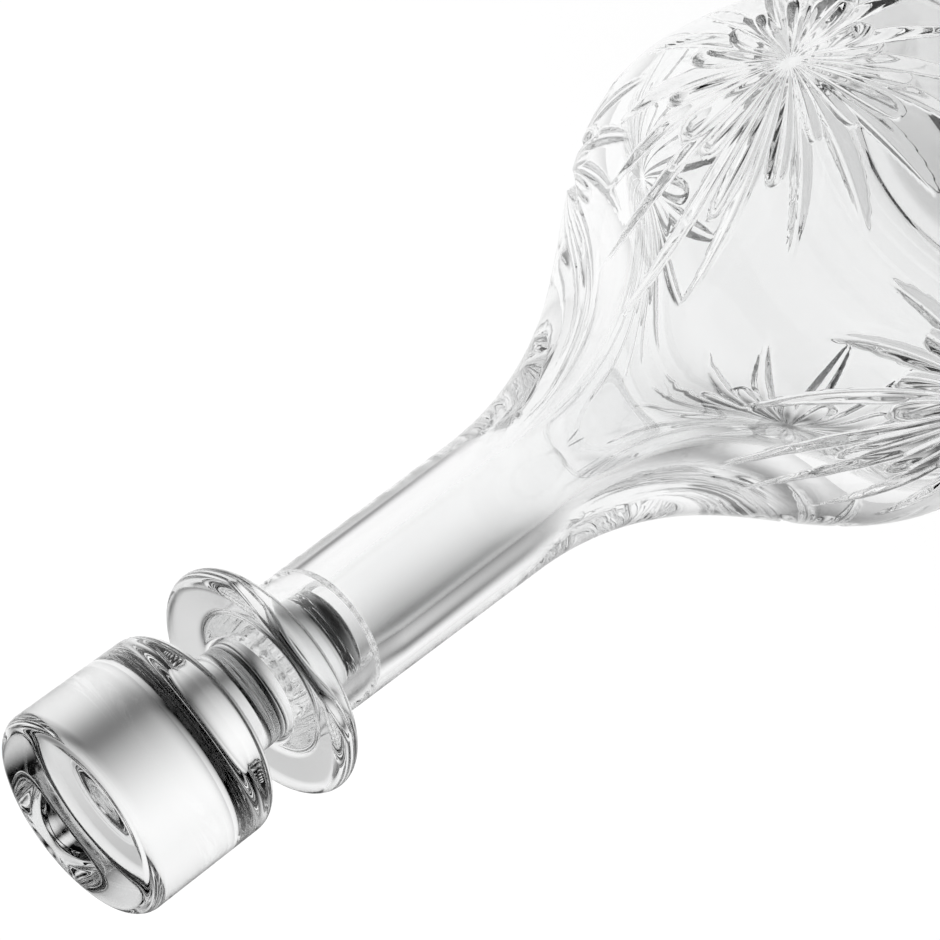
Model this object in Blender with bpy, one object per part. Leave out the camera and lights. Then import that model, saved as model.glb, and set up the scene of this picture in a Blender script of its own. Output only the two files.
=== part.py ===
"""Wine decanter: a star-cut clear glass vessel and its solid glass stopper.

Metres, +Z up. The vessel stands on z = 0 with its axis on the Z axis.
"""
import bpy
import numpy as np

# Stopper
KNOB_RADIUS = 0.0225
KNOB_HEIGHT = 0.0325
KNOB_TOP_EDGE = 0.003
KNOB_TOP_DISH = 0.0008
KNOB_BOTTOM_EDGE = 0.004
SHANK_LENGTH = 0.013
SHANK_FILLET = 0.0025
PLUG_DEPTH = 0.021
PLUG_TOP_RADIUS = 0.0112
PLUG_END_RADIUS = 0.0103
PLUG_END_ROUND = 0.002

# Fit of the plug in the mouth
SEAT_GAP = 0.0003
PLUG_END_CLEARANCE = 0.0006

# Lip and neck
VESSEL_HEIGHT = 0.246
LIP_THICKNESS = 0.006
LIP_OVERHANG = 0.01035
LIP_FILLET = 0.0022
MOUTH_ROUND = 0.0014
MOUTH_WALL = 0.0039
NECK_SPREAD = 0.0008
NECK_FOOT_HEIGHT = 0.178

# Belly and base
BELLY_RADIUS = 0.062
BELLY_HEIGHT = 0.072
SHOULDER_NECK_HANDLE = 0.054
SHOULDER_BELLY_HANDLE = 0.027
LOWER_BELLY_HANDLE = 0.024
LOWER_BELLY_SLOPE = 0.22
FOOT_RADIUS = 0.047
FOOT_EDGE = 0.005
PUNT_RADIUS = 0.034
PUNT_DEPTH = 0.004

# Hollow
BORE_STEP = 0.0016
BORE_STEP_LENGTH = 0.0024
BORE_FOOT_HEIGHT = 0.165
BELLY_WALL = 0.006
HOLLOW_WIDEST_HEIGHT = 0.062
HOLLOW_NECK_HANDLE = 0.062
HOLLOW_BELLY_HANDLE = 0.03
HOLLOW_FLOOR_CURVE = 0.03
HOLLOW_FLOOR_PULL = 0.25
BASE_THICKNESS = 0.012

# Star cuts, one star in the middle of each quarter of the belly
STAR_COUNT = 4
STAR_RISE = 0.008
RAY_COUNT = 32
RAY_LENGTH_UP = 0.064
RAY_LENGTH_SIDE = 0.045
RAY_LENGTH_DOWN = 0.048
SHORT_RAY_SHARE = 0.52
LONG_CUT_WIDTH = 0.0032
SHORT_CUT_WIDTH = 0.005
CUT_BLUNTNESS = 0.6
CUT_STEEPNESS = 0.6
RIDGE_SHARE = 0.95
TIP_HALF_WIDTH = 0.0002

# Facets round the shapes
RAY_STATIONS = (0.05, 0.15, 0.28, 0.42, SHORT_RAY_SHARE, 0.76, 1.0)
COLUMNS_PER_RAY = 3
TOP_CORNER_COLUMN = 9
BOTTOM_CORNER_COLUMN = 37
CORNER_STATION = 0.5
STOPPER_SEGMENTS = 48
CURVE_STEPS = 100
SHOULDER_RINGS = 2
FOOT_ARC_STEPS = 3
LIP_FILLET_STEPS = 2
LIP_ARC_STEPS = 8
MOUTH_ARC_STEPS = 3
BORE_STEP_RINGS = 3
HOLLOW_SHOULDER_STEPS = 12
HOLLOW_FLOOR_STEPS = 7
PLUG_ARC_STEPS = 3
SHANK_FILLET_STEPS = 3
KNOB_ARC_STEPS = 5
PUNT_STATIONS = (0.5, 0.85, 1.0)
DISH_STATION = 0.5

# Sizes that follow from the ones above
SOCKET_TOP_RADIUS = PLUG_TOP_RADIUS + SEAT_GAP
SOCKET_END_RADIUS = PLUG_END_RADIUS + SEAT_GAP
SOCKET_END_HEIGHT = VESSEL_HEIGHT - PLUG_DEPTH - PLUG_END_CLEARANCE
BORE_RADIUS = PLUG_END_RADIUS - BORE_STEP
NECK_TOP_RADIUS = SOCKET_TOP_RADIUS + MOUTH_WALL
NECK_FOOT_RADIUS = NECK_TOP_RADIUS + NECK_SPREAD
LIP_RADIUS = NECK_TOP_RADIUS + LIP_OVERHANG
HOLLOW_RADIUS = BELLY_RADIUS - BELLY_WALL
HOLLOW_FLOOR_HEIGHT = PUNT_DEPTH + BASE_THICKNESS
STAR_HEIGHT = BELLY_HEIGHT + STAR_RISE


def arc(centre, radius, start, end, steps):
    """Points of an arc in (radius, height); angles in degrees from straight outward."""
    angles = np.radians(np.linspace(start, end, steps + 1))
    return [(centre[0] + radius * np.cos(a), centre[1] + radius * np.sin(a)) for a in angles]


def bezier(p0, p1, p2, p3, steps):
    """Points of a cubic curve in (radius, height)."""
    t = np.linspace(0.0, 1.0, steps + 1)[:, None]
    p0, p1, p2, p3 = (np.array(p) for p in (p0, p1, p2, p3))
    curve = (1 - t) ** 3 * p0 + 3 * (1 - t) ** 2 * t * p1 + 3 * (1 - t) * t ** 2 * p2 + t ** 3 * p3
    return [tuple(p) for p in curve]


class Body:
    """Points and faces of one closed glass body."""

    def __init__(self):
        self.points = []
        self.faces = []

    def point(self, radius, angle, height):
        self.points.append((radius * np.cos(angle), radius * np.sin(angle), height))
        return len(self.points) - 1

    def ring(self, angles, radius, height):
        return [self.point(radius, angle, height) for angle in angles]

    def bridge(self, first, second):
        """Join two rings of equal count; the outside faces right of the way from first to second."""
        count = len(first)
        for i in range(count):
            j = (i + 1) % count
            self.faces.append((first[i], first[j], second[j], second[i]))

    def halve(self, first, second):
        """Join a ring to one with half its count, whose points stand at every other angle."""
        count = len(second)
        for i in range(count):
            a, b, c = first[2 * i], first[2 * i + 1], first[(2 * i + 2) % len(first)]
            j = (i + 1) % count
            self.faces += [(a, b, second[i]), (b, second[j], second[i]), (b, c, second[j])]

    def cap(self, ring, height, facing_up):
        """Close a ring with a fan to a point on the axis."""
        middle = self.point(0.0, 0.0, height)
        for i in range(len(ring)):
            j = (i + 1) % len(ring)
            self.faces.append((ring[i], ring[j], middle) if facing_up else (ring[j], ring[i], middle))

    def build(self, name, colour):
        mesh = bpy.data.meshes.new(name)
        mesh.from_pydata(self.points, [], self.faces)
        mesh.validate()
        glass = bpy.data.materials.new(name + "_glass")
        glass.use_nodes = True
        shader = glass.node_tree.nodes["Principled BSDF"]
        shader.inputs["Base Color"].default_value = colour
        shader.inputs["Roughness"].default_value = 0.02
        shader.inputs["IOR"].default_value = 1.52
        shader.inputs["Transmission Weight"].default_value = 1.0
        mesh.materials.append(glass)
        built = bpy.data.objects.new(name, mesh)
        bpy.context.scene.collection.objects.link(built)
        return built


# Outside of the belly
def belly_outline():
    """Outside of the vessel from the foot edge up to the foot of the neck."""
    foot_corner = (FOOT_RADIUS, FOOT_EDGE)
    lower_handle = (FOOT_RADIUS + LOWER_BELLY_SLOPE * LOWER_BELLY_HANDLE, FOOT_EDGE + LOWER_BELLY_HANDLE)
    widest = (BELLY_RADIUS, BELLY_HEIGHT)
    lower = bezier(foot_corner, lower_handle,
                   (BELLY_RADIUS, BELLY_HEIGHT - LOWER_BELLY_HANDLE), widest, CURVE_STEPS)
    shoulder = bezier(widest,
                      (BELLY_RADIUS, BELLY_HEIGHT + SHOULDER_BELLY_HANDLE),
                      (NECK_FOOT_RADIUS, NECK_FOOT_HEIGHT - SHOULDER_NECK_HANDLE),
                      (NECK_FOOT_RADIUS, NECK_FOOT_HEIGHT), CURVE_STEPS)
    return np.array(lower + shoulder[1:])


class Belly:
    """The belly's outside, addressed by angle and by distance along its outline from the stars' middle."""

    def __init__(self):
        outline = belly_outline()
        steps = np.hypot(*np.diff(outline, axis=0).T)
        travel = np.concatenate([[0.0], np.cumsum(steps)])
        self.radius, self.height = outline.T
        self.rise = travel - np.interp(STAR_HEIGHT, self.height, travel)
        self.run = np.gradient(self.radius, self.rise)
        self.climb = np.gradient(self.height, self.rise)

    def at(self, rise, depth=0.0):
        """Radius and height at a distance above the stars' middle, sunk by a depth below the surface."""
        radius, height, run, climb = (np.interp(rise, self.rise, values)
                                      for values in (self.radius, self.height, self.run, self.climb))
        return radius - depth * climb, height + depth * run


# Star cuts
def ray_length(bearing):
    """Length of the long ray that leaves the star's middle at a bearing from straight up."""
    upright = RAY_LENGTH_UP if np.cos(bearing) > 0 else RAY_LENGTH_DOWN
    return 1.0 / np.hypot(np.cos(bearing) / upright, np.sin(bearing) / RAY_LENGTH_SIDE)


def cut_half_width(share, width):
    """Half width of a leaf-shaped cut at a share of its length."""
    if share >= 1.0:
        return TIP_HALF_WIDTH
    return max(width / 2 * (4 * share * (1 - share)) ** CUT_BLUNTNESS, TIP_HALF_WIDTH)


def star_columns():
    """For every column of a star: its stations, each as (distance from the middle, bearing, cut depth)."""
    spacing = 2 * np.pi / RAY_COUNT
    columns = []
    for ray in range(RAY_COUNT):
        bearing = ray * spacing
        length = ray_length(bearing)
        width, reach = (SHORT_CUT_WIDTH, SHORT_RAY_SHARE) if ray % 2 else (LONG_CUT_WIDTH, 1.0)
        widest_angle = RIDGE_SHARE * spacing * width / (LONG_CUT_WIDTH + SHORT_CUT_WIDTH)
        for side in (-1, 0, 1):
            stations = []
            for share in RAY_STATIONS:
                distance = share * length
                half_width = cut_half_width(share / reach, width)
                half_angle = min(half_width / distance, widest_angle)
                middle_depth = CUT_STEEPNESS * half_width if share < reach else 0.0
                edge_depth = max(middle_depth - CUT_STEEPNESS * half_angle * distance, 0.0)
                stations.append((distance, bearing + side * half_angle, edge_depth if side else middle_depth))
            columns.append(stations)
    # The first ray's left-hand column belongs at the end, so that columns run clockwise from straight up.
    return columns[1:] + columns[:1]


def panel_edge():
    """Where each column meets the edge of the star's quarter, as (angle from the star, rise)."""
    half_width = np.pi / STAR_COUNT * BELLY_RADIUS
    count = RAY_COUNT * COLUMNS_PER_RAY
    top = half_width / np.tan(2 * np.pi * TOP_CORNER_COLUMN / count)
    bottom = half_width / np.tan(2 * np.pi * BOTTOM_CORNER_COLUMN / count)
    edge = []
    for column in range(count):
        bearing = 2 * np.pi * column / count
        if column <= TOP_CORNER_COLUMN or column >= count - TOP_CORNER_COLUMN:
            edge.append((top * np.tan(bearing) / BELLY_RADIUS, top))
        elif BOTTOM_CORNER_COLUMN <= column <= count - BOTTOM_CORNER_COLUMN:
            edge.append((bottom * np.tan(bearing) / BELLY_RADIUS, bottom))
        else:
            edge.append((np.copysign(half_width, np.sin(bearing)) / BELLY_RADIUS,
                         half_width / abs(np.tan(bearing)) * np.sign(np.cos(bearing))))
    return edge


def add_star_band(body, belly):
    """Build the four star-cut quarters of the belly; return the angles and rings at its foot and top."""
    edge = panel_edge()
    count = len(edge)
    top_columns = [c % count for c in range(-TOP_CORNER_COLUMN, TOP_CORNER_COLUMN)]
    bottom_columns = list(range(count - BOTTOM_CORNER_COLUMN, BOTTOM_CORNER_COLUMN, -1))
    turns = [2 * np.pi * star / STAR_COUNT for star in range(STAR_COUNT)]
    top_angles = [turn + edge[c][0] for turn in turns for c in top_columns]
    bottom_angles = [turn + edge[c][0] for turn in turns for c in bottom_columns]
    top_radius, top_height = belly.at(edge[0][1])
    bottom_radius, bottom_height = belly.at(edge[count // 2][1])
    top_ring = body.ring(top_angles, top_radius, top_height)
    bottom_ring = body.ring(bottom_angles, bottom_radius, bottom_height)

    # Seams between neighbouring quarters, from the top corner to the foot corner
    seam_columns = range(TOP_CORNER_COLUMN + 1, BOTTOM_CORNER_COLUMN)
    seams = []
    for turn in turns:
        seam = []
        for column in seam_columns:
            radius, height = belly.at(edge[column][1])
            seam.append(body.point(radius, turn + edge[column][0], height))
        seams.append(seam)

    columns = star_columns()
    for star, turn in enumerate(turns):
        rings = []
        for station in range(len(RAY_STATIONS)):
            ring = []
            for column in columns:
                distance, bearing, depth = column[station]
                radius, height = belly.at(distance * np.cos(bearing), depth)
                ring.append(body.point(radius, turn + distance * np.sin(bearing) / BELLY_RADIUS, height))
            rings.append(ring)
        ring = []
        for column, (edge_angle, edge_rise) in zip(columns, edge):
            distance, bearing, _ = column[-1]
            tip_angle, tip_rise = distance * np.sin(bearing) / BELLY_RADIUS, distance * np.cos(bearing)
            radius, height = belly.at(tip_rise + CORNER_STATION * (edge_rise - tip_rise))
            angle = turn + tip_angle + CORNER_STATION * (edge_angle - tip_angle)
            ring.append(body.point(radius, angle, height))
        rings.append(ring)
        top_start = star * len(top_columns)
        top_run = [top_ring[(top_start + i) % len(top_ring)] for i in range(len(top_columns) + 1)]
        bottom_start = star * len(bottom_columns)
        bottom_run = [bottom_ring[(bottom_start + i) % len(bottom_ring)]
                      for i in range(len(bottom_columns) + 1)]
        right_seam = seams[star]
        left_seam = seams[star - 1]
        rim = top_run[TOP_CORNER_COLUMN:] + right_seam + bottom_run[::-1] + left_seam[::-1] \
            + top_run[:TOP_CORNER_COLUMN]
        for inner, outer in zip(rings, rings[1:] + [rim]):
            body.bridge(inner, outer)
        hub_depth = columns[0][0][2]
        hub_radius, hub_height = belly.at(0.0, hub_depth)
        hub = body.point(hub_radius, turn, hub_height)
        for i in range(count):
            body.faces.append((hub, rings[0][(i + 1) % count], rings[0][i]))
    return (bottom_angles, bottom_ring), (top_angles, top_ring)


# Vessel
def base_outline():
    """Underside of the vessel, from the middle of the punt to the top of the foot edge."""
    ring_edge = FOOT_RADIUS - FOOT_EDGE
    punt = [(PUNT_RADIUS * share, PUNT_DEPTH * (1 - share ** 2)) for share in PUNT_STATIONS]
    return punt + arc((ring_edge, FOOT_EDGE), FOOT_EDGE, -90, 0, FOOT_ARC_STEPS)


def neck_outline():
    """Outside of the neck and lip, from the foot of the neck to the rounded edge of the mouth."""
    lip_edge = LIP_THICKNESS / 2
    lip_foot = VESSEL_HEIGHT - LIP_THICKNESS
    fillet = arc((NECK_TOP_RADIUS + LIP_FILLET, lip_foot - LIP_FILLET), LIP_FILLET, 180, 90, LIP_FILLET_STEPS)
    edge = arc((LIP_RADIUS - lip_edge, lip_foot + lip_edge), lip_edge, -90, 90, LIP_ARC_STEPS)
    mouth = arc((SOCKET_TOP_RADIUS + MOUTH_ROUND, VESSEL_HEIGHT - MOUTH_ROUND),
                MOUTH_ROUND, 90, 180, MOUTH_ARC_STEPS)
    return [(NECK_FOOT_RADIUS, NECK_FOOT_HEIGHT)] + fillet + edge + mouth


def bore_outline():
    """Inside of the neck, from the end of the plug's seat to the foot of the bore."""
    step_foot = SOCKET_END_HEIGHT - BORE_STEP_LENGTH
    return bezier((SOCKET_END_RADIUS, SOCKET_END_HEIGHT),
                  (SOCKET_END_RADIUS, SOCKET_END_HEIGHT - BORE_STEP_LENGTH / 2),
                  (BORE_RADIUS, step_foot + BORE_STEP_LENGTH / 2),
                  (BORE_RADIUS, step_foot), BORE_STEP_RINGS) + [(BORE_RADIUS, BORE_FOOT_HEIGHT)]


def hollow_outline():
    """Inside of the belly, from just below the bore to the edge of the flat floor."""
    floor_radius = HOLLOW_RADIUS - HOLLOW_FLOOR_CURVE
    shoulder = bezier((BORE_RADIUS, BORE_FOOT_HEIGHT),
                      (BORE_RADIUS, BORE_FOOT_HEIGHT - HOLLOW_NECK_HANDLE),
                      (HOLLOW_RADIUS, HOLLOW_WIDEST_HEIGHT + HOLLOW_BELLY_HANDLE),
                      (HOLLOW_RADIUS, HOLLOW_WIDEST_HEIGHT), HOLLOW_SHOULDER_STEPS)
    lower = bezier((HOLLOW_RADIUS, HOLLOW_WIDEST_HEIGHT),
                   (HOLLOW_RADIUS, HOLLOW_WIDEST_HEIGHT - HOLLOW_FLOOR_CURVE),
                   (HOLLOW_RADIUS - HOLLOW_FLOOR_PULL * HOLLOW_FLOOR_CURVE, HOLLOW_FLOOR_HEIGHT),
                   (floor_radius, HOLLOW_FLOOR_HEIGHT), HOLLOW_FLOOR_STEPS)
    return shoulder[1:] + lower[1:]


def make_vessel():
    body = Body()
    belly = Belly()
    (foot_angles, foot_ring), (neck_angles, shoulder_ring) = add_star_band(body, belly)

    base_points = base_outline()
    rings = [body.ring(foot_angles, radius, height) for radius, height in base_points] + [foot_ring]
    body.cap(rings[0], PUNT_DEPTH, facing_up=False)
    for first, second in zip(rings, rings[1:]):
        body.bridge(first, second)

    shoulder_top = panel_edge()[0][1]
    rises = np.linspace(shoulder_top, belly.rise[-1], SHOULDER_RINGS + 2)[1:-1]
    shoulder_points = [belly.at(rise) for rise in rises]
    rings = [shoulder_ring]
    for radius, height in shoulder_points + neck_outline() + bore_outline():
        rings.append(body.ring(neck_angles, radius, height))
    for first, second in zip(rings, rings[1:]):
        body.bridge(first, second)

    hollow_rings = [body.ring(neck_angles[::2], radius, height) for radius, height in hollow_outline()]
    body.halve(rings[-1], hollow_rings[0])
    for first, second in zip(hollow_rings, hollow_rings[1:]):
        body.bridge(first, second)
    body.cap(hollow_rings[-1], HOLLOW_FLOOR_HEIGHT, facing_up=True)
    return body.build("vessel", (0.96, 0.97, 0.97, 1.0))


# Stopper
def stopper_outline():
    """Outline of the stopper from the end of the plug up to the edge of the knob's dished top."""
    plug_foot = VESSEL_HEIGHT - PLUG_DEPTH
    knob_foot = VESSEL_HEIGHT + SHANK_LENGTH
    knob_top = knob_foot + KNOB_HEIGHT
    plug_end = arc((PLUG_END_RADIUS - PLUG_END_ROUND, plug_foot + PLUG_END_ROUND),
                   PLUG_END_ROUND, -90, 0, PLUG_ARC_STEPS)
    fillet = arc((PLUG_TOP_RADIUS + SHANK_FILLET, knob_foot - SHANK_FILLET),
                 SHANK_FILLET, 180, 90, SHANK_FILLET_STEPS)
    bottom_edge = arc((KNOB_RADIUS - KNOB_BOTTOM_EDGE, knob_foot + KNOB_BOTTOM_EDGE),
                      KNOB_BOTTOM_EDGE, -90, 0, KNOB_ARC_STEPS)
    top_edge = arc((KNOB_RADIUS - KNOB_TOP_EDGE, knob_top - KNOB_TOP_EDGE),
                   KNOB_TOP_EDGE, 0, 90, KNOB_ARC_STEPS)
    return plug_end + [(PLUG_TOP_RADIUS, VESSEL_HEIGHT)] + fillet + bottom_edge + top_edge


def make_stopper():
    body = Body()
    angles = [2 * np.pi * i / STOPPER_SEGMENTS for i in range(STOPPER_SEGMENTS)]
    rings = [body.ring(angles, radius, height) for radius, height in stopper_outline()]
    body.cap(rings[0], VESSEL_HEIGHT - PLUG_DEPTH, facing_up=False)
    for first, second in zip(rings, rings[1:]):
        body.bridge(first, second)
    knob_top = VESSEL_HEIGHT + SHANK_LENGTH + KNOB_HEIGHT
    face_radius = KNOB_RADIUS - KNOB_TOP_EDGE
    dish_depth = KNOB_TOP_DISH * (1 - DISH_STATION ** 2)
    dish_ring = body.ring(angles, face_radius * DISH_STATION, knob_top - dish_depth)
    body.bridge(rings[-1], dish_ring)
    body.cap(dish_ring, knob_top - KNOB_TOP_DISH, facing_up=True)
    return body.build("stopper", (0.95, 0.96, 0.97, 1.0))


def main():
    for stale in list(bpy.data.objects):
        bpy.data.objects.remove(stale, do_unlink=True)
    make_vessel()
    make_stopper()


main()
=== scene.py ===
"""Wine decanter in clear cut glass, standing on a pale studio floor."""
import math

import bmesh
import bpy
import numpy as np
from bpy.props import FloatProperty, FloatVectorProperty, IntProperty, PointerProperty
from mathutils import Matrix, Vector


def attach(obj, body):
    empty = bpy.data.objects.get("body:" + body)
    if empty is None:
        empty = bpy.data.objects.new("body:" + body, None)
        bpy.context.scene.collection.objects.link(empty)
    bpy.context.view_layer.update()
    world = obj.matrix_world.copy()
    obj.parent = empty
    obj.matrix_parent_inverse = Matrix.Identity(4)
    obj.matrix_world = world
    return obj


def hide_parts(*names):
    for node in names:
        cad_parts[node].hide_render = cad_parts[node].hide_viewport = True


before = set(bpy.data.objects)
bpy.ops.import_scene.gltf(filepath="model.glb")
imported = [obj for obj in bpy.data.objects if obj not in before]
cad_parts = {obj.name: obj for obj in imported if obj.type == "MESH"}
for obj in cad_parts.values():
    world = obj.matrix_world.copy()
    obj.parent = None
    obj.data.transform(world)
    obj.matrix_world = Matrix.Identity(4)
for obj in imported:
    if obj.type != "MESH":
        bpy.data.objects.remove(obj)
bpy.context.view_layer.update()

bl_info = {
    "name": "Cut Glass Decanter",
    "version": (1, 0, 0),
    "blender": (4, 5, 0),
    "location": "View3D > Sidebar > Decanter",
    "description": "Builds a star-cut glass decanter with its stopper and a studio to show it in",
    "category": "Add Mesh",
}


def length(name, description, default):
    """A size in metres."""
    return FloatProperty(name=name, description=description, default=default, unit="LENGTH", precision=5)


def angle(name, description, degrees):
    """An angle, given in degrees."""
    return FloatProperty(name=name, description=description, default=math.radians(degrees), subtype="ANGLE")


def share(name, description, default):
    """A plain number without a unit."""
    return FloatProperty(name=name, description=description, default=default, precision=4)


def patch(name, description, default):
    """A round patch of light in the room, with its angles in degrees."""
    parts = ": heading from +X towards +Y, elevation, angle of the full light, angle of its end, light"
    return FloatVectorProperty(name=name, description=description + parts, default=default, size=5)


def colour(name, description, default):
    """A linear colour."""
    return FloatVectorProperty(name=name, description=description, default=default, subtype="COLOR",
                               size=3, min=0.0, max=1.0)


class DecanterVesselSettings(bpy.types.PropertyGroup):
    """Sizes of the vessel."""
    height: length("Height", "Height of the top of the lip", 0.246)
    lip_thickness: length("Lip thickness", "Thickness of the lip, which is round-edged", 0.006)
    lip_overhang: length("Lip overhang", "How far the lip stands out from the neck", 0.01035)
    lip_fillet: length("Lip fillet", "Radius of the fillet between neck and lip", 0.0022)
    mouth_round: length("Mouth round", "Radius of the edge of the mouth", 0.0014)
    mouth_wall: length("Mouth wall", "Thickness of the neck at the mouth", 0.0039)
    neck_spread: length("Neck spread", "How much the neck's radius grows towards its foot", 0.0008)
    neck_foot: length("Neck foot", "Height where the neck starts to widen", 0.178)
    belly_radius: length("Belly radius", "Greatest radius of the belly", 0.062)
    belly_height: length("Belly height", "Height of the widest line", 0.072)
    shoulder_neck_handle: length("Shoulder neck handle", "Pull of the shoulder curve at the neck", 0.054)
    shoulder_belly_handle: length("Shoulder belly handle", "Pull of the shoulder curve at the belly", 0.027)
    lower_handle: length("Lower belly handle", "Pull of the curve below the widest line", 0.024)
    lower_slope: share("Lower belly slope", "How far the wall leans out above the foot", 0.22)
    foot_radius: length("Foot radius", "Radius of the wall above the foot's rounded edge", 0.047)
    foot_edge: length("Foot edge", "Radius of the foot's rounded edge", 0.005)
    punt_radius: length("Punt radius", "Radius of the hollow under the base", 0.034)
    punt_depth: length("Punt depth", "Depth of the hollow under the base", 0.004)
    bore_step: length("Bore step", "How much narrower the bore is than the plug's end", 0.0016)
    bore_step_length: length("Bore step length", "Height over which the seat narrows to the bore", 0.0024)
    bore_foot: length("Bore foot", "Height where the bore starts to widen", 0.165)
    belly_wall: length("Belly wall", "Thickness of the glass at the widest line", 0.006)
    hollow_height: length("Hollow height", "Height of the hollow's widest line", 0.062)
    hollow_neck_handle: length("Hollow neck handle", "Pull of the hollow's shoulder at the bore", 0.062)
    hollow_belly_handle: length("Hollow belly handle", "Pull of the hollow's shoulder at the belly", 0.03)
    hollow_floor_curve: length("Hollow floor curve", "Size of the curve round the hollow's floor", 0.03)
    base_thickness: length("Base thickness", "Thickness of the glass above the punt", 0.012)


class DecanterStarSettings(bpy.types.PropertyGroup):
    """Sizes of the star cuts, one star in the middle of each quarter of the belly."""
    stars: IntProperty(name="Stars", description="Stars round the belly", default=4)
    rise: length("Rise", "Height of the stars' middle above the widest line", 0.008)
    rays: IntProperty(name="Rays", description="Rays in one star, long and short in turn", default=32)
    ray_up: length("Ray up", "Length of the ray that points at the neck", 0.064)
    ray_side: length("Ray side", "Length of the ray that points at the next star", 0.045)
    ray_down: length("Ray down", "Length of the ray that points at the foot", 0.048)
    short_share: share("Short ray share", "Length of the short rays, as a share of the long ones", 0.52)
    long_width: length("Long ray width", "Greatest width of a long ray's cut", 0.0042)
    short_width: length("Short ray width", "Greatest width of a short ray's cut", 0.0068)
    hub: share("Hub", "Where the cuts start, as a share of a long ray's length", 0.05)
    root: share("Root", "How slowly a cut widens from the hub", 0.9)
    short_taper: share("Short ray taper", "How slowly a short cut narrows to its tip", 0.35)
    long_taper: share("Long ray taper", "How slowly a long cut narrows to its tip", 0.9)
    steepness: share("Steepness", "Depth of a cut for each unit of half width", 1.0)
    softness: share("Softness", "Section of a cut, from 1 for a sharp-edged flute to 2 for soft edges", 1.2)
    unevenness: share("Unevenness", "How much the rays differ from each other, as in work by hand", 0.18)


class DecanterStopperSettings(bpy.types.PropertyGroup):
    """Sizes of the stopper."""
    knob_radius: length("Knob radius", "Radius of the knob", 0.0225)
    knob_height: length("Knob height", "Height of the knob", 0.0325)
    top_edge_width: length("Top edge width", "How far the rounded top edge reaches in", 0.003)
    top_edge_height: length("Top edge height", "How far the rounded top edge reaches down", 0.003)
    top_dish: length("Top dish", "Depth of the dished top", 0.0008)
    bottom_edge: length("Bottom edge", "Radius of the knob's lower edge", 0.004)
    shank_length: length("Shank length", "Height of the knob above the lip", 0.013)
    shank_fillet: length("Shank fillet", "Radius of the fillet under the knob", 0.0025)
    plug_depth: length("Plug depth", "How far the plug reaches into the mouth", 0.021)
    plug_top_radius: length("Plug top radius", "Radius of the plug at the mouth", 0.0112)
    plug_end_radius: length("Plug end radius", "Radius of the plug at its end", 0.0103)
    plug_end_round: length("Plug end round", "Radius of the edge at the plug's end", 0.003)
    seat_gap: length("Seat gap", "Gap between the plug and its seat", 0.0003)
    end_clearance: length("End clearance", "Room below the plug before the bore narrows", 0.0006)


class DecanterGlassSettings(bpy.types.PropertyGroup):
    """Finish of the glass."""
    tint: colour("Tint", "Colour of the glass", (0.994, 0.997, 0.997))
    ior: share("Refraction", "Index of refraction", 1.52)
    vessel_waves: share("Vessel waves", "Scale of the slow waviness of the vessel", 18.0)
    vessel_wave_height: length("Vessel wave height", "Height of the vessel's waviness", 0.0004)
    vessel_smears: share("Vessel smears", "Scale of the smears on the vessel", 30.0)
    stopper_waves: share("Stopper waves", "Scale of the slow waviness of the stopper", 25.0)
    stopper_wave_height: length("Stopper wave height", "Height of the stopper's waviness", 0.0003)
    stopper_smears: share("Stopper smears", "Scale of the smears on the stopper", 45.0)


class DecanterStageSettings(bpy.types.PropertyGroup):
    """Camera, floor and light."""
    azimuth: angle("Azimuth", "Turn of the camera round the decanter, from the front", 50.75)
    elevation: angle("Elevation", "How far the camera looks down", 31.557)
    roll: angle("Roll", "Turn of the camera about its own line of sight", 126.34)
    distance: length("Distance", "Distance of the camera from its aim", 0.62496)
    aim: FloatVectorProperty(name="Aim", description="Point in the middle of the picture",
                             default=(0.00577, 0.00706, 0.17515), unit="LENGTH", precision=5)
    lens: share("Lens", "Focal length in millimetres", 114.894)
    floor_colour: colour("Floor colour", "Colour of the floor", (0.92, 0.92, 0.92))
    shadow_share: share("Shadow share", "How much of the floor's tone comes from the lamps", 0.3)
    eye_height: length("Eye height", "Height above the floor from which the glass sees the room", 0.2)
    # These patches set the world's light and are also painted on the floor's glow and colour: painted pools
    # of light, with painted shade between them
    back_light: patch("Back light", "Bright sweep behind the decanter", (89.0, -27.0, 31.0, 75.0, 1.0))
    side_light: patch("Side light", "Paler part of the room to the side", (-161.0, 3.0, 12.0, 47.0, 0.96))
    # A painted pool of light on the floor round the decanter; the floor there has the same pale colour as
    # everywhere else
    table_light: patch("Table light", "White table under the decanter", (0.0, -90.0, 26.0, 67.0, 1.0))
    front_light: patch("Front light", "Background on the camera's side, seen straight through the glass",
                       (-45.0, -20.0, 50.0, 82.0, 1.0))


# Fineness of the meshes
WELD_DISTANCE = 2e-6
COLUMNS_PER_RAY = 12
STAR_ROWS = 72
PANEL_STEPS = 5
SHOULDER_ROWS = 24
TOP_CORNER_RAY = 3
BOTTOM_CORNER_COLUMN = 148

# Form of the star cuts: how sharp the tips and meetings are, and how the rays stray from each other
SHARP_TIP = 0.00003
CUT_UNION = 6.0
BEARING_PACE = 4.3
TIP_PACE = 2.4
WIDTH_PACE = 3.1

# Studio sizes in metres, and the lamp's power in watts
FLOOR_RADIUS = 4.0
FLOOR_DROP = 0.0003
LAMP_PLACE = (-0.6, 0.5, 1.5)
LAMP_AIM = (0.0, 0.0, 0.1)
LAMP_SIZE = 1.2
LAMP_POWER = 31.0

# Bounces of light that thick cut glass needs
GLASS_BOUNCES = 32
MIRROR_BOUNCES = 16


# Outlines in (radius, height)
def rounded(centre, radii, start, end, steps=14):
    """Points of an elliptical arc; angles in degrees from straight outward."""
    turn = np.radians(np.linspace(start, end, steps + 1))
    return np.column_stack([centre[0] + radii[0] * np.cos(turn), centre[1] + radii[1] * np.sin(turn)])


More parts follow.
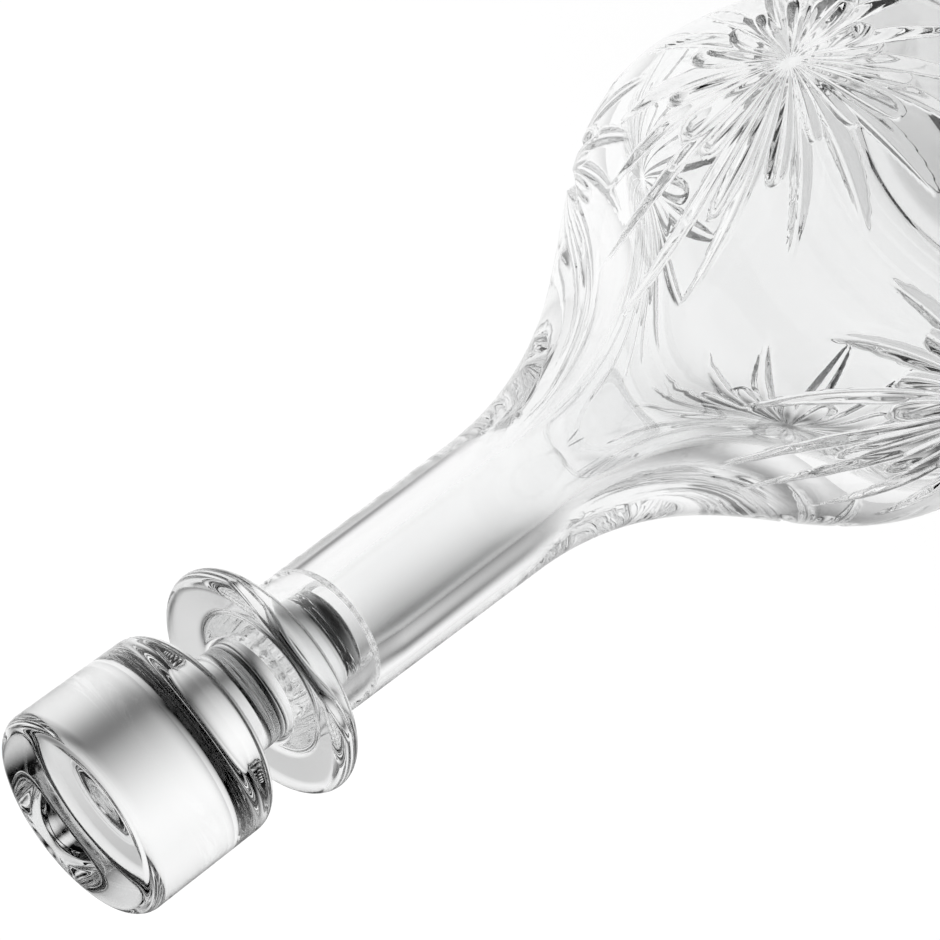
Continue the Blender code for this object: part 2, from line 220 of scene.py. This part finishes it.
def swept(start, start_handle, end_handle, end, steps):
    """Points of a cubic curve."""
    t = np.linspace(0.0, 1.0, steps + 1)[:, None]
    a, b, c, d = (np.array(p) for p in (start, start_handle, end_handle, end))
    return (1 - t) ** 3 * a + 3 * (1 - t) ** 2 * t * b + 3 * (1 - t) * t ** 2 * c + t ** 3 * d


def straight(start, end, steps):
    """Points of a straight line."""
    return np.linspace(start, end, steps + 1)


class Glasswork:
    """Grids of points that are welded into one closed glass body."""

    def __init__(self):
        self.points = []
        self.faces = []
        self.count = 0

    def grid(self, points):
        """Add rows of points that close on themselves; the outside lies right of the way up the rows."""
        rows, columns = points.shape[:2]
        numbers = self.count + np.arange(rows * columns).reshape(rows, columns)
        following = np.roll(numbers, -1, axis=1)
        quads = np.stack([numbers[:-1], following[:-1], following[1:], numbers[1:]], axis=-1)
        self.points.append(points.reshape(-1, 3))
        self.faces.append(quads.reshape(-1, 4))
        self.count += rows * columns

    def turn(self, outline, angles):
        """Turn an outline about the axis; the angles may differ from row to row."""
        radius, height = outline[:, :1], outline[:, 1:]
        angles = np.broadcast_to(angles, (len(outline), angles.shape[-1]))
        height = np.broadcast_to(height, angles.shape)
        self.grid(np.stack([radius * np.cos(angles), radius * np.sin(angles), height], axis=-1))

    def weld(self, name):
        """Weld the grids into one smooth mesh object."""
        mesh = bpy.data.meshes.new(name)
        points, faces = np.concatenate(self.points), np.concatenate(self.faces)
        mesh.from_pydata(points.tolist(), [], faces.tolist())
        work = bmesh.new()
        work.from_mesh(mesh)
        bmesh.ops.remove_doubles(work, verts=work.verts, dist=WELD_DISTANCE)
        bmesh.ops.dissolve_degenerate(work, edges=work.edges, dist=WELD_DISTANCE / 10)
        for face in work.faces:
            face.smooth = True
        work.to_mesh(mesh)
        work.free()
        piece = bpy.data.objects.new(name, mesh)
        bpy.context.scene.collection.objects.link(piece)
        return piece


class Belly:
    """The belly's outside, addressed by the distance along its outline from the stars' middle."""

    def __init__(self, vessel, star, neck_foot_radius):
        widest = (vessel.belly_radius, vessel.belly_height)
        lower = swept((vessel.foot_radius, vessel.foot_edge),
                      (vessel.foot_radius + vessel.lower_slope * vessel.lower_handle,
                       vessel.foot_edge + vessel.lower_handle),
                      (vessel.belly_radius, vessel.belly_height - vessel.lower_handle), widest, 200)
        upper = swept(widest, (vessel.belly_radius, vessel.belly_height + vessel.shoulder_belly_handle),
                      (neck_foot_radius, vessel.neck_foot - vessel.shoulder_neck_handle),
                      (neck_foot_radius, vessel.neck_foot), 300)
        outline = np.concatenate([lower, upper[1:]])
        travel = np.concatenate([[0.0], np.cumsum(np.hypot(*np.diff(outline, axis=0).T))])
        self.radius, self.height = outline.T
        self.rise = travel - np.interp(vessel.belly_height + star.rise, self.height, travel)
        self.run = np.gradient(self.radius, self.rise)
        self.climb = np.gradient(self.height, self.rise)

    def at(self, rise, depth=0.0):
        """Radius and height at a distance above the stars' middle, sunk by a depth."""
        radius, height, run, climb = (np.interp(rise, self.rise, values)
                                      for values in (self.radius, self.height, self.run, self.climb))
        return radius - depth * climb, height + depth * run


def by_hand(star, number, pace):
    """How far each ray strays from its plain form, as a share."""
    return star.unevenness * np.sin(pace * (number + 1.0))


def ray_bearings(star):
    """Bearings of the rays, from the one that points at the neck."""
    number = np.arange(star.rays)
    return 2 * np.pi / star.rays * (number + by_hand(star, number, BEARING_PACE))


def ray_reach(star, bearing):
    """Length of a long ray at a bearing."""
    upright = np.where(np.cos(bearing) > 0, star.ray_up, star.ray_down)
    return 1.0 / np.hypot(np.cos(bearing) / upright, np.sin(bearing) / star.ray_side)


def star_depth(star, across, rise):
    """Depth of the cuts at points of a star's quarter; every cut narrows to both its ends."""
    number = np.arange(star.rays)
    short = number % 2 == 1
    bearing = ray_bearings(star)
    reach = ray_reach(star, bearing)
    start = star.hub * reach
    tip = reach * np.where(short, star.short_share * (1 + by_hand(star, number, TIP_PACE)), 1.0)
    width = np.where(short, star.short_width, star.long_width) * (1 + by_hand(star, number, WIDTH_PACE))
    taper = np.where(short, star.short_taper, star.long_taper)
    widest = star.root / (star.root + taper)
    along = across[..., None] * np.sin(bearing) + rise[..., None] * np.cos(bearing)
    aside = across[..., None] * np.cos(bearing) - rise[..., None] * np.sin(bearing)
    place = np.clip((along - start) / (tip - start), 0.0, 1.0)
    half = width / 2 * (place / widest) ** star.root * ((1 - place) / (1 - widest)) ** taper
    section = np.clip(1 - (aside / np.maximum(half, SHARP_TIP)) ** 2, 0.0, 1.0) ** star.softness
    cuts = star.steepness * half * section
    return np.sum(cuts ** CUT_UNION, axis=-1) ** (1 / CUT_UNION)


def panel_edge(vessel, star):
    """Where each column meets the edge of the star's quarter, as across and rise."""
    half_width = np.pi / star.stars * vessel.belly_radius
    count = star.rays * COLUMNS_PER_RAY
    column = np.arange(count)
    bearing = 2 * np.pi * column / count
    corner = TOP_CORNER_RAY * COLUMNS_PER_RAY
    top = half_width / np.tan(2 * np.pi * corner / count)
    bottom = half_width / np.tan(2 * np.pi * BOTTOM_CORNER_COLUMN / count)
    mirrored = np.minimum(column, count - column)
    with np.errstate(divide="ignore", invalid="ignore"):
        across = np.where(mirrored <= corner, top * np.tan(bearing),
                          np.where(mirrored >= BOTTOM_CORNER_COLUMN, bottom * np.tan(bearing),
                                   np.copysign(half_width, np.sin(bearing))))
        rise = np.where(mirrored <= corner, top,
                        np.where(mirrored >= BOTTOM_CORNER_COLUMN, bottom,
                                 half_width / np.tan(2 * np.pi * mirrored / count)))
    return across, rise


def add_star_panels(work, vessel, star, belly):
    """Add the star-cut quarters; return the angles along their top and bottom edges."""
    count = star.rays * COLUMNS_PER_RAY
    bearings = ray_bearings(star)
    bearing = np.interp(np.arange(count) / COLUMNS_PER_RAY, np.arange(star.rays + 1),
                        np.append(bearings, bearings[0] + 2 * np.pi))
    distance = np.linspace(0.0, 1.0, STAR_ROWS)[:, None] * ray_reach(star, bearing)
    across, rise = distance * np.sin(bearing), distance * np.cos(bearing)
    edge_across, edge_rise = panel_edge(vessel, star)
    blend = (np.arange(1, PANEL_STEPS + 1) / PANEL_STEPS)[:, None]
    across = np.concatenate([across, across[-1] * (1 - blend) + edge_across * blend])
    rise = np.concatenate([rise, rise[-1] * (1 - blend) + edge_rise * blend])
    depth = star_depth(star, across, rise)
    radius, height = belly.at(rise, depth)
    turns = [2 * np.pi * number / star.stars for number in range(star.stars)]
    for turn in turns:
        around = turn + across / vessel.belly_radius
        work.grid(np.stack([radius * np.cos(around), radius * np.sin(around), height], axis=-1))
    corner = TOP_CORNER_RAY * COLUMNS_PER_RAY
    top_columns = np.arange(-corner, corner) % count
    bottom_columns = np.arange(count - BOTTOM_CORNER_COLUMN, BOTTOM_CORNER_COLUMN, -1)
    top = np.concatenate([turn + edge_across[top_columns] / vessel.belly_radius for turn in turns])
    bottom = np.concatenate([turn + edge_across[bottom_columns] / vessel.belly_radius for turn in turns])
    return top, bottom, edge_rise.max(), edge_rise.min()


def even_angles(star):
    """Evenly spaced angles, as many as there are columns along the stars' top edges."""
    count = 2 * TOP_CORNER_RAY * COLUMNS_PER_RAY * star.stars
    return 2 * np.pi * np.arange(count) / count - np.pi / star.stars


def neck_and_hollow(vessel, stopper, belly, top_rise):
    """Outline from the stars' top edge up the neck, over the lip and down inside to the hollow's floor."""
    socket_top = stopper.plug_top_radius + stopper.seat_gap
    socket_end = stopper.plug_end_radius + stopper.seat_gap
    socket_end_height = vessel.height - stopper.plug_depth - stopper.end_clearance
    bore = stopper.plug_end_radius - vessel.bore_step
    neck_top = socket_top + vessel.mouth_wall
    lip_radius = neck_top + vessel.lip_overhang
    lip_edge = vessel.lip_thickness / 2
    lip_foot = vessel.height - vessel.lip_thickness
    fillet = vessel.lip_fillet
    hollow_radius = vessel.belly_radius - vessel.belly_wall
    floor_height = vessel.punt_depth + vessel.base_thickness
    step_foot = socket_end_height - vessel.bore_step_length
    curve = vessel.hollow_floor_curve
    shoulder = np.column_stack(belly.at(np.linspace(top_rise, belly.rise[-1], SHOULDER_ROWS)))
    neck_foot = tuple(shoulder[-1])
    widest = (hollow_radius, vessel.hollow_height)
    floor_edge = (hollow_radius - curve, floor_height)
    return np.concatenate([
        shoulder,
        straight(neck_foot, (neck_top, lip_foot - fillet), 12)[1:-1],
        rounded((neck_top + fillet, lip_foot - fillet), (fillet, fillet), 180, 90, 8),
        rounded((lip_radius - lip_edge, lip_foot + lip_edge), (lip_edge, lip_edge), -90, 90, 20),
        rounded((socket_top + vessel.mouth_round, vessel.height - vessel.mouth_round),
                (vessel.mouth_round, vessel.mouth_round), 90, 180, 8),
        straight((socket_top, vessel.height - vessel.mouth_round), (socket_end, socket_end_height), 6)[1:-1],
        swept((socket_end, socket_end_height), (socket_end, socket_end_height - vessel.bore_step_length / 2),
              (bore, step_foot + vessel.bore_step_length / 2), (bore, step_foot), 12),
        straight((bore, step_foot), (bore, vessel.bore_foot), 8)[1:-1],
        swept((bore, vessel.bore_foot), (bore, vessel.bore_foot - vessel.hollow_neck_handle),
              (hollow_radius, vessel.hollow_height + vessel.hollow_belly_handle), widest, 48),
        swept(widest, (hollow_radius, vessel.hollow_height - curve),
              (hollow_radius - curve / 4, floor_height), floor_edge, 28)[1:],
        straight(floor_edge, (0.0, floor_height), 5)[1:],
    ])


def base_outline(vessel, belly, bottom_rise):
    """Outline from the middle of the punt over the foot ring to the stars' bottom edge."""
    reach = np.linspace(0.0, 1.0, 11)
    punt = np.column_stack([vessel.punt_radius * reach, vessel.punt_depth * (1 - reach ** 2)])
    ring_edge = vessel.foot_radius - vessel.foot_edge
    wall = np.column_stack(belly.at(np.linspace(belly.rise[0], bottom_rise, 12)))
    return np.concatenate([
        punt,
        rounded((ring_edge, vessel.foot_edge), (vessel.foot_edge, vessel.foot_edge), -90, 0, 12),
        wall[1:],
    ])


def stopper_outline(vessel, stopper):
    """Outline of the stopper from the middle of the plug's end to the middle of the knob's top."""
    plug_foot = vessel.height - stopper.plug_depth
    knob_foot = vessel.height + stopper.shank_length
    knob_top = knob_foot + stopper.knob_height
    plug_top, plug_end = stopper.plug_top_radius, stopper.plug_end_radius
    end_round = stopper.plug_end_round
    fillet = stopper.shank_fillet
    edge = stopper.bottom_edge
    face_radius = stopper.knob_radius - stopper.top_edge_width
    inward = np.linspace(1.0, 0.0, 13)[1:]
    dish = np.column_stack([face_radius * inward, knob_top - stopper.top_dish * (1 - inward ** 2)])
    return np.concatenate([
        straight((0.0, plug_foot), (plug_end - end_round, plug_foot), 4)[:-1],
        rounded((plug_end - end_round, plug_foot + end_round), (end_round, end_round), -90, 0),
        straight((plug_end, plug_foot + end_round), (plug_top, vessel.height), 6)[1:],
        rounded((plug_top + fillet, knob_foot - fillet), (fillet, fillet), 180, 90),
        rounded((stopper.knob_radius - edge, knob_foot + edge), (edge, edge), -90, 0),
        straight((stopper.knob_radius, knob_foot + edge),
                 (stopper.knob_radius, knob_top - stopper.top_edge_height), 6)[1:-1],
        rounded((face_radius, knob_top - stopper.top_edge_height),
                (stopper.top_edge_width, stopper.top_edge_height), 0, 90),
        dish,
    ])


# Glass finish
def handling_group():
    """Node group for what handling and making leave on glass: faint smears and a slow waviness."""
    group = bpy.data.node_groups.new("Handled glass", "ShaderNodeTree")
    for name in ("Smear scale", "Wave scale", "Clean roughness", "Smeared roughness"):
        group.interface.new_socket(name, in_out="INPUT", socket_type="NodeSocketFloat")
    for name in ("Roughness", "Wave"):
        group.interface.new_socket(name, in_out="OUTPUT", socket_type="NodeSocketFloat")
    nodes, links = group.nodes, group.links
    inputs = nodes.new("NodeGroupInput")
    outputs = nodes.new("NodeGroupOutput")
    place = nodes.new("ShaderNodeTexCoord")
    smear = nodes.new("ShaderNodeTexNoise")
    smear.inputs["Detail"].default_value = 6.0
    smear.inputs["Roughness"].default_value = 0.62
    spread = nodes.new("ShaderNodeMapRange")
    spread.inputs["From Min"].default_value = 0.52
    spread.inputs["From Max"].default_value = 0.72
    wave = nodes.new("ShaderNodeTexNoise")
    wave.inputs["Detail"].default_value = 1.0
    links.new(place.outputs["Object"], smear.inputs["Vector"])
    links.new(place.outputs["Object"], wave.inputs["Vector"])
    links.new(inputs.outputs["Smear scale"], smear.inputs["Scale"])
    links.new(inputs.outputs["Wave scale"], wave.inputs["Scale"])
    links.new(smear.outputs["Fac"], spread.inputs["Value"])
    links.new(inputs.outputs["Clean roughness"], spread.inputs["To Min"])
    links.new(inputs.outputs["Smeared roughness"], spread.inputs["To Max"])
    links.new(spread.outputs["Result"], outputs.inputs["Roughness"])
    links.new(wave.outputs["Fac"], outputs.inputs["Wave"])
    return group


def clear_glass(name, settings, wave_scale, wave_height, smear_scale):
    """Clear polished glass with faint smears and a slow waviness."""
    material = bpy.data.materials.new(name)
    material.use_nodes = True
    nodes, links = material.node_tree.nodes, material.node_tree.links
    shader = nodes["Principled BSDF"]
    shader.inputs["Base Color"].default_value = (*settings.tint, 1.0)
    shader.inputs["IOR"].default_value = settings.ior
    shader.inputs["Transmission Weight"].default_value = 1.0
    handled = nodes.new("ShaderNodeGroup")
    handled.node_tree = bpy.data.node_groups.get("Handled glass") or handling_group()
    handled.inputs["Smear scale"].default_value = smear_scale
    handled.inputs["Wave scale"].default_value = wave_scale
    handled.inputs["Clean roughness"].default_value = 0.0
    handled.inputs["Smeared roughness"].default_value = 0.012
    bump = nodes.new("ShaderNodeBump")
    bump.inputs["Strength"].default_value = 1.0
    bump.inputs["Distance"].default_value = wave_height
    links.new(handled.outputs["Roughness"], shader.inputs["Roughness"])
    links.new(handled.outputs["Wave"], bump.inputs["Height"])
    links.new(bump.outputs["Normal"], shader.inputs["Normal"])
    return material


class DECANTER_OT_vessel(bpy.types.Operator):
    """Build the vessel with its star cuts"""
    bl_idname = "decanter.vessel"
    bl_label = "Vessel"

    def execute(self, context):
        scene = context.scene
        vessel, star, stopper = scene.decanter_vessel, scene.decanter_star, scene.decanter_stopper
        neck_top = stopper.plug_top_radius + stopper.seat_gap + vessel.mouth_wall
        belly = Belly(vessel, star, neck_top + vessel.neck_spread)
        work = Glasswork()
        top, bottom, top_rise, bottom_rise = add_star_panels(work, vessel, star, belly)
        outline = neck_and_hollow(vessel, stopper, belly, top_rise)
        evenness = np.clip(np.arange(len(outline)) / (SHOULDER_ROWS - 1), 0.0, 1.0)[:, None]
        work.turn(outline, top * (1 - evenness) + even_angles(star) * evenness)
        work.turn(base_outline(vessel, belly, bottom_rise), bottom)
        piece = work.weld("cut_glass_vessel")
        glass = scene.decanter_glass
        finish = clear_glass("vessel_cut_glass", glass, glass.vessel_waves, glass.vessel_wave_height,
                             glass.vessel_smears)
        piece.data.materials.append(finish)
        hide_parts("vessel")
        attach(piece, "vessel")
        return {"FINISHED"}


class DECANTER_OT_stopper(bpy.types.Operator):
    """Build the solid glass stopper"""
    bl_idname = "decanter.stopper"
    bl_label = "Stopper"

    def execute(self, context):
        scene = context.scene
        work = Glasswork()
        outline = stopper_outline(scene.decanter_vessel, scene.decanter_stopper)
        work.turn(outline, even_angles(scene.decanter_star))
        piece = work.weld("solid_glass_stopper")
        glass = scene.decanter_glass
        finish = clear_glass("stopper_solid_glass", glass, glass.stopper_waves, glass.stopper_wave_height,
                             glass.stopper_smears)
        piece.data.materials.append(finish)
        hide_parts("stopper")
        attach(piece, "stopper")
        return {"FINISHED"}


# Studio
def seen_ray(nodes, links):
    """1 for rays that show the background: from the camera, mirrored or through glass."""
    path = nodes.new("ShaderNodeLightPath")
    first = nodes.new("ShaderNodeMath")
    first.operation = "MAXIMUM"
    second = nodes.new("ShaderNodeMath")
    second.operation = "MAXIMUM"
    links.new(path.outputs["Is Camera Ray"], first.inputs[0])
    links.new(path.outputs["Is Glossy Ray"], first.inputs[1])
    links.new(first.outputs[0], second.inputs[0])
    links.new(path.outputs["Is Transmission Ray"], second.inputs[1])
    return second.outputs[0]


def add_patch(nodes, links, towards, light):
    """Socket with what a patch of light leaves dark in a direction, from 1 for all to 0 for none."""
    heading, elevation, full, end, amount = light
    facing = nodes.new("ShaderNodeVectorMath")
    facing.operation = "DOT_PRODUCT"
    facing.inputs[1].default_value = direction(math.radians(heading + 90.0), math.radians(elevation))
    dark = nodes.new("ShaderNodeMapRange")
    dark.interpolation_type = "SMOOTHSTEP"
    dark.inputs["From Min"].default_value = math.cos(math.radians(end))
    dark.inputs["From Max"].default_value = math.cos(math.radians(full))
    dark.inputs["To Min"].default_value = 1.0
    dark.inputs["To Max"].default_value = 1.0 - amount
    links.new(towards, facing.inputs[0])
    links.new(facing.outputs["Value"], dark.inputs["Value"])
    return dark.outputs["Result"]


def room_light_group(settings):
    """Node group for the light that the glass sees in each direction: a dark room with patches of light."""
    group = bpy.data.node_groups.new("Room light", "ShaderNodeTree")
    group.interface.new_socket("Direction", in_out="INPUT", socket_type="NodeSocketVector")
    group.interface.new_socket("Mirrorings", in_out="INPUT", socket_type="NodeSocketFloat")
    group.interface.new_socket("Light", in_out="OUTPUT", socket_type="NodeSocketFloat")
    nodes, links = group.nodes, group.links
    inputs = nodes.new("NodeGroupInput")
    outputs = nodes.new("NodeGroupOutput")
    unit = nodes.new("ShaderNodeVectorMath")
    unit.operation = "NORMALIZE"
    links.new(inputs.outputs["Direction"], unit.inputs[0])
    # Mirrored rays don't see the front light
    front = add_patch(nodes, links, unit.outputs["Vector"], settings.front_light)
    mirrored = nodes.new("ShaderNodeMath")
    mirrored.operation = "MAXIMUM"
    mirrored.use_clamp = True
    links.new(front, mirrored.inputs[0])
    links.new(inputs.outputs["Mirrorings"], mirrored.inputs[1])
    dark = mirrored.outputs[0]
    for light in (settings.back_light, settings.side_light, settings.table_light):
        product = nodes.new("ShaderNodeMath")
        product.operation = "MULTIPLY"
        links.new(dark, product.inputs[0])
        links.new(add_patch(nodes, links, unit.outputs["Vector"], light), product.inputs[1])
        dark = product.outputs[0]
    light = nodes.new("ShaderNodeMath")
    light.operation = "SUBTRACT"
    light.inputs[0].default_value = 1.0
    links.new(dark, light.inputs[1])
    links.new(light.outputs[0], outputs.inputs["Light"])
    return group


def room_level(nodes, links, towards, settings):
    """Socket with the light in a direction: white to the camera, and the room's light for other rays."""
    room = nodes.new("ShaderNodeGroup")
    room.node_tree = bpy.data.node_groups.get("Room light") or room_light_group(settings)
    path = nodes.new("ShaderNodeLightPath")
    level = nodes.new("ShaderNodeMix")
    level.inputs["B"].default_value = 1.0
    links.new(towards, room.inputs["Direction"])
    links.new(path.outputs["Glossy Depth"], room.inputs["Mirrorings"])
    links.new(room.outputs["Light"], level.inputs["A"])
    links.new(path.outputs["Is Camera Ray"], level.inputs["Factor"])
    return level.outputs["Result"]


def floor_material(settings):
    """Pale floor that glows white to the eye and takes the decanter's shadow; to other rays its glow and its
    colour are painted with the room's patches of light and shade, so that it lights the glass like the room.
    """
    material = bpy.data.materials.new("pale_floor")
    material.use_nodes = True
    nodes, links = material.node_tree.nodes, material.node_tree.links
    nodes.remove(nodes["Principled BSDF"])
    place = nodes.new("ShaderNodeTexCoord")
    towards = nodes.new("ShaderNodeVectorMath")
    towards.operation = "SUBTRACT"
    towards.inputs[1].default_value = (0.0, 0.0, settings.eye_height)
    level = room_level(nodes, links, towards.outputs["Vector"], settings)
    # Painted shade on the floor: its colour is scaled by the room's level, so it is darker where the room is
    # dark, for all rays but the camera's
    tone = nodes.new("ShaderNodeVectorMath")
    tone.operation = "SCALE"
    tone.inputs["Vector"].default_value = settings.floor_colour
    matt = nodes.new("ShaderNodeBsdfDiffuse")
    # Painted light: the floor glows with the room's level, evenly white to the camera and in patches of light
    # and painted shade to other rays
    glow = nodes.new("ShaderNodeEmission")
    amount = nodes.new("ShaderNodeMath")
    amount.operation = "MULTIPLY"
    amount.inputs[1].default_value = 1.0 - settings.shadow_share
    mix = nodes.new("ShaderNodeMixShader")
    links.new(place.outputs["Object"], towards.inputs[0])
    links.new(level, tone.inputs["Scale"])
    links.new(tone.outputs["Vector"], matt.inputs["Color"])
    links.new(level, glow.inputs["Strength"])
    links.new(seen_ray(nodes, links), amount.inputs[0])
    links.new(amount.outputs[0], mix.inputs["Fac"])
    links.new(matt.outputs["BSDF"], mix.inputs[1])
    links.new(glow.outputs["Emission"], mix.inputs[2])
    links.new(mix.outputs["Shader"], nodes["Material Output"].inputs["Surface"])
    return material


def studio_world(settings):
    """The room: white to the camera, and dark with patches of light as the glass sees it."""
    world = bpy.data.worlds.new("studio_room")
    bpy.context.scene.world = world
    world.use_nodes = True
    nodes, links = world.node_tree.nodes, world.node_tree.links
    background = nodes["Background"]
    background.inputs["Color"].default_value = (1.0, 1.0, 1.0, 1.0)
    place = nodes.new("ShaderNodeTexCoord")
    level = room_level(nodes, links, place.outputs["Generated"], settings)
    links.new(level, background.inputs["Strength"])


def add_lamp():
    """A square soft lamp overhead, which doesn't show in the glass."""
    data = bpy.data.lights.new("overhead_lamp", "AREA")
    data.shape = "SQUARE"
    data.size = LAMP_SIZE
    data.energy = LAMP_POWER
    lamp = bpy.data.objects.new("overhead_lamp", data)
    lamp.location = LAMP_PLACE
    lamp.visible_glossy = False
    lamp.visible_transmission = False
    lamp.rotation_euler = (Vector(LAMP_AIM) - Vector(LAMP_PLACE)).to_track_quat("-Z", "Y").to_euler()
    bpy.context.scene.collection.objects.link(lamp)


def direction(azimuth, elevation):
    """Unit vector towards an azimuth from the front and an elevation."""
    return Vector((math.sin(azimuth) * math.cos(elevation), -math.cos(azimuth) * math.cos(elevation),
                   math.sin(elevation)))


def add_camera(settings):
    """Camera that looks down at the decanter, rolled so that the stopper points to the lower left."""
    data = bpy.data.cameras.new("camera")
    data.sensor_width = 36.0
    data.lens = settings.lens
    data.clip_start = 0.01
    camera = bpy.data.objects.new("camera", data)
    back = direction(settings.azimuth, settings.elevation)
    turn = back.to_track_quat("Z", "Y").to_matrix() @ Matrix.Rotation(-settings.roll, 3, "Z")
    camera.matrix_world = Matrix.Translation(Vector(settings.aim) + back * settings.distance) @ turn.to_4x4()
    bpy.context.scene.collection.objects.link(camera)
    bpy.context.scene.camera = camera


class DECANTER_OT_stage(bpy.types.Operator):
    """Set up the floor, the light and the camera"""
    bl_idname = "decanter.stage"
    bl_label = "Stage"

    def execute(self, context):
        scene = context.scene
        settings = scene.decanter_stage
        mesh = bpy.data.meshes.new("floor")
        work = bmesh.new()
        bmesh.ops.create_circle(work, cap_ends=True, segments=96, radius=FLOOR_RADIUS)
        work.to_mesh(mesh)
        work.free()
        floor = bpy.data.objects.new("floor", mesh)
        floor.location.z = -FLOOR_DROP
        scene.collection.objects.link(floor)
        mesh.materials.append(floor_material(settings))
        studio_world(settings)
        add_lamp()
        add_camera(settings)
        scene.view_settings.view_transform = "Standard"
        scene.cycles.max_bounces = GLASS_BOUNCES
        scene.cycles.transmission_bounces = GLASS_BOUNCES
        scene.cycles.glossy_bounces = MIRROR_BOUNCES
        return {"FINISHED"}


class DECANTER_PT_panel(bpy.types.Panel):
    """Builds the decanter piece by piece"""
    bl_idname = "DECANTER_PT_panel"
    bl_label = "Cut Glass Decanter"
    bl_space_type = "VIEW_3D"
    bl_region_type = "UI"
    bl_category = "Decanter"

    def draw(self, context):
        for operator in (DECANTER_OT_vessel, DECANTER_OT_stopper, DECANTER_OT_stage):
            self.layout.operator(operator.bl_idname)


SETTINGS = {
    "decanter_vessel": DecanterVesselSettings,
    "decanter_star": DecanterStarSettings,
    "decanter_stopper": DecanterStopperSettings,
    "decanter_glass": DecanterGlassSettings,
    "decanter_stage": DecanterStageSettings,
}
CLASSES = (*SETTINGS.values(), DECANTER_OT_vessel, DECANTER_OT_stopper, DECANTER_OT_stage, DECANTER_PT_panel)


def register():
    """Register the settings, the operators and the panel."""
    for kind in CLASSES:
        bpy.utils.register_class(kind)
    for name, kind in SETTINGS.items():
        setattr(bpy.types.Scene, name, PointerProperty(type=kind))


def unregister():
    """Undo what register does."""
    for name in SETTINGS:
        delattr(bpy.types.Scene, name)
    for kind in reversed(CLASSES):
        bpy.utils.unregister_class(kind)


def main():
    """Build the decanter and the stage."""
    register()
    bpy.ops.decanter.vessel()
    bpy.ops.decanter.stopper()
    bpy.ops.decanter.stage()


if __name__ == "__main__":
    main()
